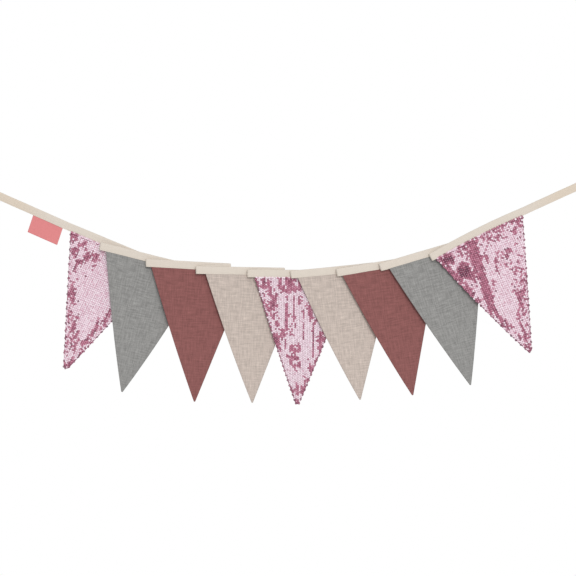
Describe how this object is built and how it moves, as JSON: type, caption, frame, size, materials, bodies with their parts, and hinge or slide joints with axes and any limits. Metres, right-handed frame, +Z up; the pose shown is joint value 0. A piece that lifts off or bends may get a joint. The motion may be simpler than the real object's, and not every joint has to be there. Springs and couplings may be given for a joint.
{
  "type": "hanging sequin garland",
  "caption": "Hanging garland of overlapping pennant flags in plain linen and pale sequin cloth, held in a folded cotton tape.",
  "frame": {"origin": "middle of the tape's left end, where the garland is held up", "axes": "+X along the garland towards its right end, +Z up, the front faces -Y"},
  "size_m": [1.1516, 0.0178, 0.4272],
  "materials": {
    "tape_cotton": "matte unbleached cotton tape, folded lengthwise and stitched",
    "label_woven": "salmon pink woven label, bare",
    "sequin_cloth": "pale pink glossy sequins sewn in rows on pink cloth",
    "linen_grey": "matte mid-grey linen, plain weave",
    "linen_rose": "matte dusky rose linen, plain weave",
    "linen_natural": "matte natural beige linen, plain weave"
  },
  "bodies": {
    "root": {"tape": "tape_cotton", "label": "label_woven", "flag_1_sequin": "sequin_cloth", "flag_2_grey": "linen_grey", "flag_3_rose": "linen_rose", "flag_4_natural": "linen_natural", "flag_5_sequin": "sequin_cloth", "flag_6_natural": "linen_natural", "flag_7_rose": "linen_rose", "flag_8_grey": "linen_grey", "flag_9_sequin": "sequin_cloth"}
  },
  "joints": []
}
